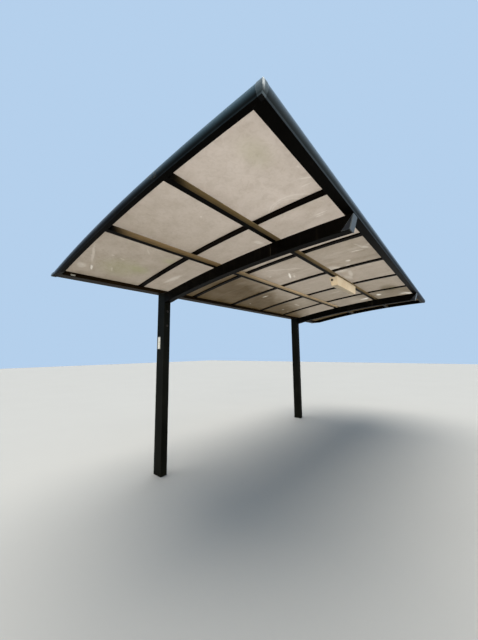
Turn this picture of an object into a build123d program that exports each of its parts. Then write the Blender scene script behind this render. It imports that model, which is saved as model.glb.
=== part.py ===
from build123d import *
import os
from math import asin, cos, degrees, radians, sin, sqrt

# Bicycle shelter: an arched roof held on one side by two posts.
# Millimetres, +Z up. The origin is the middle of the left post's foot, at ground level.
# +X runs along the shelter to the right post, and the open front faces -Y.

# Roof plan: seven equal bays between the panel lines of the two side frames
BAY_PITCH = 720
BAY_COUNT = 7
POST_INSET = 1008
LEFT_LINE = -POST_INSET
RIGHT_LINE = LEFT_LINE + BAY_PITCH * BAY_COUNT
POST_LINES = {"left": 0, "right": RIGHT_LINE - POST_INSET}

# Roof arc: the underside of the panels, highest just in front of the front frame
ARC_RADIUS = 11480
CREST_Y = -2215
CREST_Z = 2149
ARC_CENTRE_Z = CREST_Z - ARC_RADIUS
ARC_AXIS = Axis((0, CREST_Y, ARC_CENTRE_Z), (1, 0, 0))

# Levels square to the roof arc, measured up from the panels' underside
PANEL_THICKNESS = 3
PANEL_PLAY = 0.4
RAFTER_DROP = 13
COVER_HEIGHT = 8
COVER_BEVEL = 5
SEAT_DROP = 55

# Posts and cantilever beams, hollow extrusions
POST_WIDTH = 75
POST_DEPTH = 130
POST_WALL = 3
POST_CORNER = 5
POST_CAP = 5
FOOT_PLATE = 6
BEAM_WIDTH = 70
BEAM_DEPTH = 100
BEAM_WALL = 3
BEAM_BEVEL = 2
ROOT_LINE_Y = -116
ROOT_PROUD = 1
ROOT_SPIGOT = 40
ROOT_PLAY = 0.5
BEAM_TIP_Y = -2037
BEAM_TIP_TILT = 16
BEAM_CAP_THICKNESS = 6
BEAM_CAP_LIP = 4
CAP_CLEARANCE = 2

# Purlins and rafters
PURLIN_LINES = {"front": -1462, "middle": -826}
PURLIN_WIDTH = 38
PURLIN_WALL = 2
PURLIN_CORNER = 2
ARC_CLEARANCE = 0.02
RAFTER_WIDTH = 44
RAFTER_WALL = 2
RAFTER_WEB = 12
PANEL_GAP = 1
CLIP_LEG = 28
CLIP_THICKNESS = 4
CLIP_LENGTH = 40
END_MARGIN = 6

# Side frames: sections drawn outwards from the panel line and up from the panels' underside
SIDE_IN = 5
SIDE_RIDGE = 25
SIDE_NOSE = 34
SIDE_NOSE_LEVEL = -20
SIDE_RIDGE_OUT = 2
SIDE_RIDGE_UP = 5
SIDE_CROWN = 8
SIDE_TOP = 15
SIDE_REBATE = 12
SIDE_WALL = 3
SIDE_FRONT_Y = -2034
SIDE_BACK_Y = 86

# Front frame: section drawn outwards (towards -Y) from its inner face
FRONT_INNER_Y = -1995
FRONT_BOX = 57
FRONT_NOSE = 69
FRONT_NOSE_LEVEL = -12
FRONT_RIDGE_OUT = 3
FRONT_RIDGE_UP = 8
FRONT_CROWN = 48
FRONT_TOP = 20
FRONT_WALL = 3
FRONT_RIDGE_Y = FRONT_INNER_Y - FRONT_BOX
FRONT_Z = ARC_CENTRE_Z + sqrt(ARC_RADIUS**2 - (FRONT_RIDGE_Y - CREST_Y)**2)
SEAM_OUT = 3
CORNER_PROUD = 1.5
CORNER_ROUND = 9

# Back frame: a box under the panels' low edge and an open gutter behind it
BACK_INNER_Y = -2
BACK_BOX_Y = 56
GUTTER_Y = 115
GUTTER_BOTTOM_Z = 1893
GUTTER_TOP_Z = 1934
GUTTER_WALL = 3
GUTTER_LIP = 9
GUTTER_ROUND = 10
FILLER_SETBACK = 8
FILLER_PLAY = 1
PANEL_OVERHANG = 10
PANEL_BACK_Y = BACK_BOX_Y + PANEL_OVERHANG
RAFTER_PLAY = 0.5
RAFTER_FRONT_Y = FRONT_INNER_Y + RAFTER_PLAY
RAFTER_BACK_Y = BACK_BOX_Y - RAFTER_PLAY
BACK_CORNER_Y = 118

# Lamp under the front purlin, midway between the posts
MIDDLE_X = (LEFT_LINE + RIGHT_LINE) / 2
LAMP_LENGTH = 640
LAMP_X = (MIDDLE_X - LAMP_LENGTH / 2, MIDDLE_X + LAMP_LENGTH / 2)
LAMP_TOP_WIDTH = 90
LAMP_BOTTOM_WIDTH = 64
LAMP_HEIGHT = 96
LAMP_WALL = 2.5
LAMP_HANGER = 8
HANGER_LENGTH = 40
LENS_DEPTH = 14
LENS_BULGE = 6

# The front frame runs on over the side frames' inner edges, what lies behind it between them
FRONT_FRAME_X = (LEFT_LINE - SEAM_OUT, RIGHT_LINE + SEAM_OUT)
INNER_X = (LEFT_LINE + SIDE_IN, RIGHT_LINE - SIDE_IN)


def profile(*points, rounds=()):
    """Closed flat outline. rounds lists (corner, radius) for the corners that are rounded."""
    outline = make_face(Polyline(*points, close=True))
    for corner, radius in rounds:
        vertex = outline.vertices().sort_by_distance((*corner, 0))[0]
        outline = fillet(vertex, radius)
    return outline


def rectangle(x_low, x_high, y_low, y_high, radius=0):
    """Rectangle between two corners, with all four corners rounded where radius is given."""
    centre = ((x_low + x_high) / 2, (y_low + y_high) / 2)
    width, height = x_high - x_low, y_high - y_low
    shape = RectangleRounded(width, height, radius) if radius else Rectangle(width, height)
    return Pos(*centre) * shape


def bevelled(x_low, x_high, y_low, y_high, bevel):
    """Rectangle between two corners, with all four corners cut off."""
    return chamfer(rectangle(x_low, x_high, y_low, y_high).vertices(), bevel)


def angle_outline():
    """Angle with equal legs along both axes and a round in its inner corner."""
    leg, thick = CLIP_LEG, CLIP_THICKNESS
    return profile((0, 0), (leg, 0), (leg, thick), (thick, thick), (thick, leg), (0, leg),
                   rounds=[((thick, thick), thick)])


def arc_angle(y):
    """Angle from the crest to a line on the panels' underside, in degrees."""
    return degrees(asin((y - CREST_Y) / ARC_RADIUS))


def arc_height(y, level=0):
    """Height of the arc that lies a level above the panels' underside."""
    return ARC_CENTRE_Z + sqrt((ARC_RADIUS + level)**2 - (y - CREST_Y)**2)


def arched(section, x, y_front, y_back, outward=1):
    """Carry a section along the roof arc. It is drawn outwards from x and up from the panels."""
    crest = Plane(origin=(x, CREST_Y, CREST_Z), x_dir=(outward, 0, 0), z_dir=(0, -outward, 0))
    back_end = (crest * section).rotate(ARC_AXIS, -arc_angle(y_back))
    return revolve(back_end, axis=ARC_AXIS, revolution_arc=arc_angle(y_back) - arc_angle(y_front))


def roof_place(x, y):
    """Place on the panels' underside: local Y follows the slope and local Z stands square to it."""
    return Location((x, y, arc_height(y)), (-arc_angle(y), 0, 0))


def along_x(section, x_low, x_high):
    """Extrude a section drawn in the Y-Z plane between two places along the shelter."""
    return Plane.YZ.offset(x_low) * extrude(section, x_high - x_low)


def block(x_low, x_high, y_low, y_high, z_low, z_high):
    """Rectangular block between two corners."""
    base = rectangle(x_low, x_high, y_low, y_high)
    return Pos(0, 0, z_low) * extrude(base, z_high - z_low)


def post(x):
    """Upright extrusion with a plate across its foot, closed above by its cap."""
    height = GUTTER_BOTTOM_Z - POST_CAP
    outer = extrude(RectangleRounded(POST_WIDTH, POST_DEPTH, POST_CORNER), height)
    inner = Rectangle(POST_WIDTH - 2 * POST_WALL, POST_DEPTH - 2 * POST_WALL)
    return Pos(x, 0, 0) * (outer - Pos(0, 0, FOOT_PLATE) * extrude(inner, height))


def post_cap(x):
    """Closing plate with a spigot in the post. The back frame stands on it."""
    plate = extrude(RectangleRounded(POST_WIDTH + 2, POST_DEPTH, POST_CORNER), POST_CAP)
    spigot = Rectangle(POST_WIDTH - 2 * POST_WALL, POST_DEPTH - 2 * POST_WALL)
    hollow = Rectangle(POST_WIDTH - 4 * POST_WALL, POST_DEPTH - 4 * POST_WALL)
    skirt = Pos(0, 0, -4 * POST_CAP) * extrude(spigot - hollow, 4 * POST_CAP)
    return Pos(x, 0, GUTTER_BOTTOM_Z - POST_CAP) * (plate + skirt)


def tip_plane(x, setback=0):
    """Slanted plane of the beam's front end, facing out of the beam."""
    z = arc_height(BEAM_TIP_Y, -SEAT_DROP - BEAM_DEPTH / 2)
    tilt = radians(BEAM_TIP_TILT)
    normal = (0, -cos(tilt), -sin(tilt))
    face = Plane(origin=(x, BEAM_TIP_Y, z), x_dir=(1, 0, 0), z_dir=normal)
    return face.offset(-setback)


def beam(x):
    """Arched box beam from the slanted tip to its root casting."""
    half = BEAM_WIDTH / 2
    low, high = -SEAT_DROP - BEAM_DEPTH, -SEAT_DROP
    outer = bevelled(-half, half, low, high, BEAM_BEVEL)
    inner = rectangle(-half + BEAM_WALL, half - BEAM_WALL, low + BEAM_WALL, high - BEAM_WALL)
    tube = arched(outer - inner, x, BEAM_TIP_Y - BEAM_DEPTH, ROOT_LINE_Y)
    tip = tip_plane(x, BEAM_CAP_THICKNESS) * Rectangle(2 * BEAM_WIDTH, 2 * BEAM_DEPTH)
    return tube - extrude(tip, 2 * BEAM_DEPTH)


def beam_cap(x):
    """Moulded cap over the slanted tip, a little larger than the beam, with a tongue inside."""
    half_slant = BEAM_DEPTH / cos(radians(BEAM_TIP_TILT)) / 2
    half_width = BEAM_WIDTH / 2 + BEAM_CAP_LIP
    inside = tip_plane(x, BEAM_CAP_THICKNESS)
    outline = rectangle(-half_width, half_width, -half_slant - BEAM_CAP_LIP,
                        half_slant - CAP_CLEARANCE, 2 * BEAM_CAP_LIP)
    plate = extrude(inside * outline, BEAM_CAP_THICKNESS)
    face = plate.faces().sort_by(Axis(inside.origin, inside.z_dir))[-1]
    plate = chamfer(face.edges(), BEAM_CAP_THICKNESS / 3)
    tongue_width = BEAM_WIDTH - 2 * BEAM_WALL - 2
    tongue_height = 2 * (half_slant - BEAM_CAP_THICKNESS - BEAM_WALL)
    ring = Rectangle(tongue_width, tongue_height) - Rectangle(
        tongue_width - 2 * BEAM_WALL, tongue_height - 2 * BEAM_WALL)
    return plate + extrude(inside * ring, -2 * BEAM_CAP_THICKNESS)


def beam_root(x):
    """Casting between the beam and the post's front face, with a spigot in the beam."""
    half, low, high = BEAM_WIDTH / 2, -SEAT_DROP - BEAM_DEPTH, -SEAT_DROP
    proud, fit = ROOT_PROUD, BEAM_WALL + ROOT_PLAY
    sleeve = bevelled(-half - proud, half + proud, low - proud, high, BEAM_BEVEL)
    spigot = rectangle(-half + fit, half - fit, low + fit, high - fit)
    casting = arched(sleeve, x, ROOT_LINE_Y, 0)
    casting += arched(spigot, x, ROOT_LINE_Y - ROOT_SPIGOT, ROOT_LINE_Y)
    return casting - block(x - BEAM_WIDTH, x + BEAM_WIDTH, -POST_DEPTH / 2, POST_DEPTH,
                           GUTTER_BOTTOM_Z - 2 * BEAM_DEPTH, GUTTER_BOTTOM_Z + BEAM_DEPTH)


def purlin(y):
    """Straight box extrusion under the rafters, from side frame to side frame."""
    half = PURLIN_WIDTH / 2
    outer = rectangle(-half, half, -SEAT_DROP, -RAFTER_DROP - ARC_CLEARANCE,
                      PURLIN_CORNER)
    inner = rectangle(-half + PURLIN_WALL, half - PURLIN_WALL,
                      -SEAT_DROP + PURLIN_WALL, -RAFTER_DROP - PURLIN_WALL)
    return roof_place(0, y) * along_x(outer - inner, *INNER_X)


def purlin_clip(x, y):
    """Angle that ties a purlin's back face to the top of a beam."""
    angle = Pos(PURLIN_WIDTH / 2, -SEAT_DROP) * angle_outline()
    return roof_place(0, y) * along_x(angle, x - CLIP_LENGTH / 2, x + CLIP_LENGTH / 2)


def purlin_end(x, y, inward):
    """Angle that ties a purlin's back face to the inner face of a side frame."""
    low, high = -SEAT_DROP + END_MARGIN, -RAFTER_DROP - END_MARGIN
    corner = Plane(origin=(x, PURLIN_WIDTH / 2, low), x_dir=(inward, 0, 0), z_dir=(0, 0, inward))
    return roof_place(0, y) * extrude(corner * angle_outline(), inward * (high - low))


def rafter(x):
    """Arched bar: a flat box under the panels' edges and a web between them."""
    half, web = RAFTER_WIDTH / 2, RAFTER_WEB / 2
    box = rectangle(-half, half, -RAFTER_DROP, 0)
    hollow = rectangle(-half + RAFTER_WALL, half - RAFTER_WALL,
                       -RAFTER_DROP + RAFTER_WALL, -RAFTER_WALL)
    section = box - hollow + rectangle(-web, web, 0, PANEL_THICKNESS)
    return arched(section, x, RAFTER_FRONT_Y, RAFTER_BACK_Y)


def rafter_cover(x):
    """Pressing strip on top of a rafter, with bevelled edges."""
    half, bevel = RAFTER_WIDTH / 2, COVER_BEVEL
    low, high = PANEL_THICKNESS, PANEL_THICKNESS + COVER_HEIGHT
    section = profile((-half, low), (half, low), (half, high - bevel), (half - bevel, high),
                      (-half + bevel, high), (-half, high - bevel))
    return arched(section, x, RAFTER_FRONT_Y, RAFTER_BACK_Y)


def roof_panel(bay):
    """One curved sheet, lying on its two rafters or on a rafter and a side frame."""
    edge = RAFTER_WEB / 2 + PANEL_GAP
    rebate = SIDE_IN - SIDE_REBATE + PANEL_GAP
    low = LEFT_LINE + bay * BAY_PITCH + (rebate if bay == 0 else edge)
    high = LEFT_LINE + (bay + 1) * BAY_PITCH - (rebate if bay == BAY_COUNT - 1 else edge)
    sheet = rectangle(low, high, 0, PANEL_THICKNESS)
    front = FRONT_INNER_Y - SIDE_REBATE + PANEL_GAP
    return arched(sheet, 0, front, PANEL_BACK_Y)


def side_outline(proud=0):
    """Side frame's outline: upright inside, flat underneath with a ridge, rounded outside."""
    ridge, nose = SIDE_RIDGE + proud, SIDE_NOSE + proud
    low, high = -SEAT_DROP - proud, SIDE_TOP + proud
    foot = (ridge + SIDE_RIDGE_OUT, low + SIDE_RIDGE_UP)
    lines = Polyline((-SIDE_IN, low), (ridge, low), foot)
    lines += ThreePointArc(foot, (nose, SIDE_NOSE_LEVEL), (SIDE_CROWN, high))
    lines += Polyline((SIDE_CROWN, high), (-SIDE_IN, high), (-SIDE_IN, low))
    return make_face(lines)


def side_hollow():
    """Hollow of the side frame, under and outside the rebate for the panel's edge."""
    wall, seat = SIDE_WALL, SIDE_REBATE - SIDE_IN + SIDE_WALL
    return profile((-SIDE_IN + wall, -SEAT_DROP + wall), (SIDE_RIDGE - wall, -SEAT_DROP + wall),
                   (SIDE_NOSE - wall, SIDE_NOSE_LEVEL), (seat, SIDE_TOP - 2 * wall), (seat, -wall),
                   (-SIDE_IN + wall, -wall))


def nose_outline(proud=0):
    """Front frame's outline, drawn outwards from its inner face and up from the panels."""
    box, nose = FRONT_BOX + proud, FRONT_NOSE + proud
    low, high = -SEAT_DROP - proud, FRONT_TOP + proud
    foot = (box + FRONT_RIDGE_OUT, low + FRONT_RIDGE_UP)
    lines = Polyline((0, low), (box, low), foot)
    lines += ThreePointArc(foot, (nose, FRONT_NOSE_LEVEL), (FRONT_CROWN, high))
    lines += Polyline((FRONT_CROWN, high), (0, high), (0, low))
    return make_face(lines)


def panel_slot():
    """Lowest and highest level of the panels' slot in the front pieces."""
    low = arc_height(FRONT_INNER_Y) - FRONT_Z
    return low, low + PANEL_THICKNESS + PANEL_PLAY


def front_section():
    """Front frame: flat underside with a ridge, rounded nose and a slot for the panels."""
    slot = rectangle(0, SIDE_REBATE, *panel_slot())
    wall = FRONT_WALL
    low, high = -SEAT_DROP + wall, FRONT_TOP - wall
    foot, crown = (FRONT_BOX, low + FRONT_RIDGE_UP), FRONT_CROWN - wall / 2
    lines = Polyline((wall, low), (FRONT_BOX - wall, low), foot)
    lines += ThreePointArc(foot, (FRONT_NOSE - wall, FRONT_NOSE_LEVEL), (crown, high))
    lines += Polyline((crown, high), (SIDE_REBATE + wall, high),
                      (SIDE_REBATE + wall, -2 * wall), (wall, -2 * wall), (wall, low))
    return nose_outline() - slot - make_face(lines)


def front_plane(x):
    """Section plane of the front frame: local X points out of the shelter, local Y up."""
    return Plane(origin=(x, FRONT_INNER_Y, FRONT_Z), x_dir=(0, -1, 0), z_dir=(-1, 0, 0))


def front_frame():
    """Front frame between its two corner pieces."""
    low, high = FRONT_FRAME_X
    return extrude(front_plane(high) * front_section(), high - low)


def side_nose(line, outward, z, y_start, y_end):
    """Side frame's outline carried level along the shelter's depth, a little proud."""
    place = Plane(origin=(line, y_start, z), x_dir=(outward, 0, 0), z_dir=(0, -outward, 0))
    return extrude(place * side_outline(CORNER_PROUD), outward * (y_start - y_end))


def corner_plan(x_pair, y_low, y_high, z_low, z_high, round_place, radius):
    """Upright block over a corner piece's plan, with the edge at round_place rounded."""
    plan = block(min(x_pair), max(x_pair), y_low, y_high, z_low, z_high)
    upright = plan.edges().filter_by(Axis.Z).sort_by_distance((*round_place, z_low))[0]
    return fillet(upright, radius)


def front_corner(line, outward):
    """Small cap where the noses of the front and side frames meet, with a rounded mitre."""
    outer_x = line + outward * (SIDE_NOSE + 2 * CORNER_PROUD)
    x_pair = (line + outward * SEAM_OUT, outer_x)
    front_y = FRONT_INNER_Y - FRONT_NOSE - CORNER_PROUD
    across = extrude(front_plane(max(x_pair)) * nose_outline(CORNER_PROUD), max(x_pair) - min(x_pair))
    along = side_nose(line, outward, FRONT_Z, SIDE_FRONT_Y, front_y)
    plan = corner_plan(x_pair, front_y, SIDE_FRONT_Y, FRONT_Z - 2 * SEAT_DROP, FRONT_Z + SEAT_DROP,
                       (outer_x, front_y), CORNER_ROUND)
    return across & along & plan


def side_frame(line, outward):
    """Arched side frame, notched round the front frame and trimmed level over the gutter's end."""
    reach = 2 * SIDE_NOSE
    ends = SIDE_FRONT_Y - reach, SIDE_BACK_Y + reach
    across = line - reach, line + reach
    front, back = ends[0] - reach, ends[1] + reach
    low, high = GUTTER_BOTTOM_Z - BEAM_DEPTH, CREST_Z + reach
    rebate = rectangle(-SIDE_IN, SIDE_REBATE - SIDE_IN, 0, PANEL_THICKNESS + PANEL_PLAY)
    frame = arched(side_outline() - rebate, line, *ends, outward)
    hollow = arched(side_hollow(), line, *ends, outward)
    frame -= hollow - block(*across, -POST_DEPTH, back, low, GUTTER_BOTTOM_Z + SIDE_WALL)
    frame -= block(*across, -POST_DEPTH, back, low, GUTTER_BOTTOM_Z)
    frame -= block(*across, SIDE_BACK_Y, back, low, high)
    frame -= block(*across, front, SIDE_FRONT_Y, low, high)
    notch = sorted((line - outward * reach, line + outward * SEAM_OUT))
    return frame - block(*notch, front, FRONT_INNER_Y, low, high)


def back_frame():
    """Back frame: box under the rafters' feet, closing fin between them, and the gutter."""
    inner, box, out = BACK_INNER_Y, BACK_BOX_Y, GUTTER_Y
    low, high, wall = GUTTER_BOTTOM_Z, GUTTER_TOP_Z, GUTTER_WALL
    top_inner = arc_height(inner, -RAFTER_DROP)
    top_box = arc_height(box, -RAFTER_DROP)
    outline = profile(
        (inner, low), (out, low), (out, high), (out - GUTTER_LIP, high),
        (out - GUTTER_LIP, high - wall),
        (out - wall, high - wall), (out - wall, low + wall), (box, low + wall), (box, top_box),
        (inner, top_inner),
        rounds=[((out, low), GUTTER_ROUND), ((out - wall, low + wall), GUTTER_ROUND - wall)])
    hollow = profile(
        (inner + wall, low + wall), (box - wall, low + wall), (box - wall, top_box - wall),
        (inner + wall, top_inner - wall))
    fin_low, fin_high = inner + FILLER_SETBACK, inner + FILLER_SETBACK + wall
    fin = profile(
        (fin_low, arc_height(fin_low, -RAFTER_DROP - FILLER_PLAY)),
        (fin_high, arc_height(fin_high, -RAFTER_DROP - FILLER_PLAY)),
        (fin_high, arc_height(fin_high)), (fin_low, arc_height(fin_low)))
    frame = along_x(outline - hollow + fin, *INNER_X)
    half = RAFTER_WIDTH / 2
    for x in RAFTER_LINES:
        frame -= block(x - half, x + half, fin_low - FILLER_PLAY, fin_high + FILLER_PLAY,
                       arc_height(fin_high, -RAFTER_DROP), arc_height(fin_low) + wall)
    return frame


def back_corner(line, outward):
    """Corner piece that carries the side frame's nose on, level, and closes the gutter's end."""
    outer_x = line + outward * (SIDE_NOSE + 2 * CORNER_PROUD)
    nose = side_nose(line, outward, GUTTER_TOP_Z - SIDE_TOP, SIDE_BACK_Y, BACK_CORNER_Y)
    plan = corner_plan((line - outward * SIDE_IN, outer_x), SIDE_BACK_Y, BACK_CORNER_Y,
                       GUTTER_BOTTOM_Z - CORNER_PROUD, GUTTER_TOP_Z + SIDE_TOP,
                       (outer_x, BACK_CORNER_Y), 2 * CORNER_ROUND)
    return nose & plan


def lamp_outline(inset=0):
    """Lamp's section below its hangers: a trapezium, wider at the top."""
    top, bottom = LAMP_TOP_WIDTH / 2 - inset, LAMP_BOTTOM_WIDTH / 2 - inset
    high = -SEAT_DROP - LAMP_HANGER - inset
    low = -SEAT_DROP - LAMP_HANGER - LAMP_HEIGHT
    return profile((-bottom, low), (bottom, low), (top, high), (-top, high))


def lamp_body():
    """Sheet-metal housing, open underneath, closed at both ends."""
    y = PURLIN_LINES["front"]
    shell = along_x(lamp_outline(), *LAMP_X)
    cavity = along_x(lamp_outline(LAMP_WALL), LAMP_X[0] + LAMP_WALL, LAMP_X[1] - LAMP_WALL)
    return roof_place(0, y) * (shell - cavity)


def lamp_lens():
    """Translucent cover that fills the housing's mouth and bulges out of it."""
    y = PURLIN_LINES["front"]
    low = -SEAT_DROP - LAMP_HANGER - LAMP_HEIGHT
    half = LAMP_BOTTOM_WIDTH / 2 - LAMP_WALL
    lines = Polyline((half, low), (half, low + LENS_DEPTH), (-half, low + LENS_DEPTH), (-half, low))
    lens = make_face(lines + ThreePointArc((-half, low), (0, low - LENS_BULGE), (half, low)))
    return roof_place(0, y) * along_x(lens, LAMP_X[0] + LAMP_WALL, LAMP_X[1] - LAMP_WALL)


def lamp_hangers():
    """Two saddles between the purlin's underside and the lamp's top."""
    y = PURLIN_LINES["front"]
    quarter = (LAMP_X[1] - LAMP_X[0]) / 4
    saddles = []
    for x in (LAMP_X[0] + quarter, LAMP_X[1] - quarter):
        saddle = block(x - HANGER_LENGTH / 2, x + HANGER_LENGTH / 2,
                       -PURLIN_WIDTH / 2, PURLIN_WIDTH / 2,
                       -SEAT_DROP - LAMP_HANGER, -SEAT_DROP)
        saddles.append(roof_place(0, y) * saddle)
    return Compound(saddles)


def purlin_clips():
    """One angle for each purlin on each beam."""
    return Compound([purlin_clip(x, y) for x in POST_LINES.values()
                     for y in PURLIN_LINES.values()])


def purlin_ends():
    """One angle at each end of each purlin."""
    return Compound([purlin_end(x, y, inward) for x, inward in zip(INNER_X, (1, -1))
                     for y in PURLIN_LINES.values()])


RAFTER_LINES = [LEFT_LINE + BAY_PITCH * bay for bay in range(1, BAY_COUNT)]


def build():
    """All nodes by name."""
    nodes = {}
    for side, x in POST_LINES.items():
        nodes[f"{side}_post"] = post(x)
        nodes[f"{side}_post_cap"] = post_cap(x)
        nodes[f"{side}_beam"] = beam(x)
        nodes[f"{side}_beam_cap"] = beam_cap(x)
        nodes[f"{side}_beam_root"] = beam_root(x)
    for name, y in PURLIN_LINES.items():
        nodes[f"{name}_purlin"] = purlin(y)
    nodes["purlin_clips"] = purlin_clips()
    nodes["purlin_ends"] = purlin_ends()
    for number, x in enumerate(RAFTER_LINES, start=1):
        nodes[f"rafter_{number}"] = rafter(x)
        nodes[f"rafter_cover_{number}"] = rafter_cover(x)
    for bay in range(BAY_COUNT):
        nodes[f"roof_panel_{bay + 1}"] = roof_panel(bay)
    for side, line, outward in (("left", LEFT_LINE, -1), ("right", RIGHT_LINE, 1)):
        nodes[f"{side}_side_frame"] = side_frame(line, outward)
        nodes[f"{side}_front_corner"] = front_corner(line, outward)
        nodes[f"{side}_back_corner"] = back_corner(line, outward)
    nodes["front_frame"] = front_frame()
    nodes["back_frame"] = back_frame()
    nodes["lamp_body"] = lamp_body()
    nodes["lamp_lens"] = lamp_lens()
    nodes["lamp_hangers"] = lamp_hangers()
    return nodes


os.makedirs("parts", exist_ok=True)
for name, shape in build().items():
    export_step(shape, f"parts/{name}.step")
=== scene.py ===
"""Bicycle shelter: finishes, fittings, floor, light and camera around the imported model.

Metres, in the model's frame: +Z up, +X along the shelter, -Y towards its open front.
"""
import logging
import math
from dataclasses import dataclass
from enum import Enum
from functools import cached_property
from typing import ClassVar

import bmesh
import bpy
from mathutils import Matrix, Vector


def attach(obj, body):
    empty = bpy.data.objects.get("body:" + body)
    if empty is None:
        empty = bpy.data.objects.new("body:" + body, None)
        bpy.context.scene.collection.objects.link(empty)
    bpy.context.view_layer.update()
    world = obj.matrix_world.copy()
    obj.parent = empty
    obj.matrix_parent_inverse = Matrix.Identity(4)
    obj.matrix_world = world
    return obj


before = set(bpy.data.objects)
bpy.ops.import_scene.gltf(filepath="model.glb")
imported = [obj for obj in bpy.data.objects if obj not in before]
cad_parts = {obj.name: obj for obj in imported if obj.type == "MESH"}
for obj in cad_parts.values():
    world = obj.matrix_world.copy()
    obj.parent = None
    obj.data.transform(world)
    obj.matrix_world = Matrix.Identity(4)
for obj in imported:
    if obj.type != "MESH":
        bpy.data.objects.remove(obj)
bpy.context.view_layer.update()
LOG = logging.getLogger("bike_shelter")

Colour = tuple[float, float, float]
Point = tuple[float, float, float]
Pair = tuple[float, float]
Socket = bpy.types.NodeSocket
Object = bpy.types.Object

MILLIMETRE = 0.001
SMOOTH_BELOW = math.radians(34)


class Grain(Enum):
    """Direction in which an extrusion was drawn, as a scale for its fine lines."""

    ALONG_X = (2.0, 420.0, 420.0)
    ALONG_Y = (420.0, 2.0, 420.0)
    ALONG_Z = (420.0, 420.0, 2.0)


class Deposit(Enum):
    """What lies on a sheet where it is marked."""

    LIME = "pale dried residue"
    ALGAE = "green growth"
    GRIME = "brown dirt"


@dataclass(frozen=True)
class Mark:
    """A blot or a streak on the sheets: its middle, half length and half width, and turn from +X."""

    middle: Pair
    reach: Pair
    turn: float
    strength: float


@dataclass(frozen=True)
class Grid:
    """Lines along X that the shelter is set out from."""

    posts: Pair = (0.0, 3.024)
    inner_faces: Pair = (-1.003, 4.027)
    first: float = -1.008
    pitch: float = 0.72
    bays: int = 7

    @property
    def last(self) -> float:
        """Line of the right side frame."""
        return self.first + self.pitch * self.bays

    @property
    def rafters(self) -> list[float]:
        """Lines of the rafters."""
        return [self.first + self.pitch * bay for bay in range(1, self.bays)]


GRID = Grid()


@dataclass(frozen=True)
class Value:
    """A number that varies over a surface, with arithmetic that adds Math nodes."""

    graph: "Graph"
    socket: Socket

    def _with(self, operation: str, *terms: "Value | float") -> "Value":
        """Join terms by one Math node."""
        return self.graph.number("ShaderNodeMath", {"operation": operation},
                                 dict(enumerate(terms)))

    def __add__(self, other: "Value | float") -> "Value":
        """Sum."""
        return self._with("ADD", self, other)

    def __sub__(self, other: "Value | float") -> "Value":
        """Difference."""
        return self._with("SUBTRACT", self, other)

    def __rsub__(self, other: float) -> "Value":
        """Difference from a plain number."""
        return self._with("SUBTRACT", other, self)

    def __mul__(self, other: "Value | float") -> "Value":
        """Product."""
        return self._with("MULTIPLY", self, other)

    def __truediv__(self, other: "Value | float") -> "Value":
        """Quotient."""
        return self._with("DIVIDE", self, other)

    def __abs__(self) -> "Value":
        """Size without sign."""
        return self._with("ABSOLUTE", self)

    __radd__ = __add__
    __rmul__ = __mul__

    def greater(self, other: "Value | float") -> "Value":
        """The larger of two numbers."""
        return self._with("MAXIMUM", self, other)

    def smaller(self, other: "Value | float") -> "Value":
        """The smaller of two numbers."""
        return self._with("MINIMUM", self, other)

    def floor(self) -> "Value":
        """Whole number below."""
        return self._with("FLOOR", self)

    def step(self, low: float, high: float) -> "Value":
        """Smooth rise from 0 at low to 1 at high, or a fall where low is above high.

        Args:
            low: where the result is 0.
            high: where the result is 1.

        Returns:
            The smoothed share from 0 to 1.
        """
        start, end = sorted((low, high))
        ends = {"From Min": start, "From Max": end, "To Min": float(low > high),
                "To Max": float(low < high)}
        return self.graph.number("ShaderNodeMapRange", {"interpolation_type": "SMOOTHSTEP"},
                                 {"Value": self, **ends})


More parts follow.
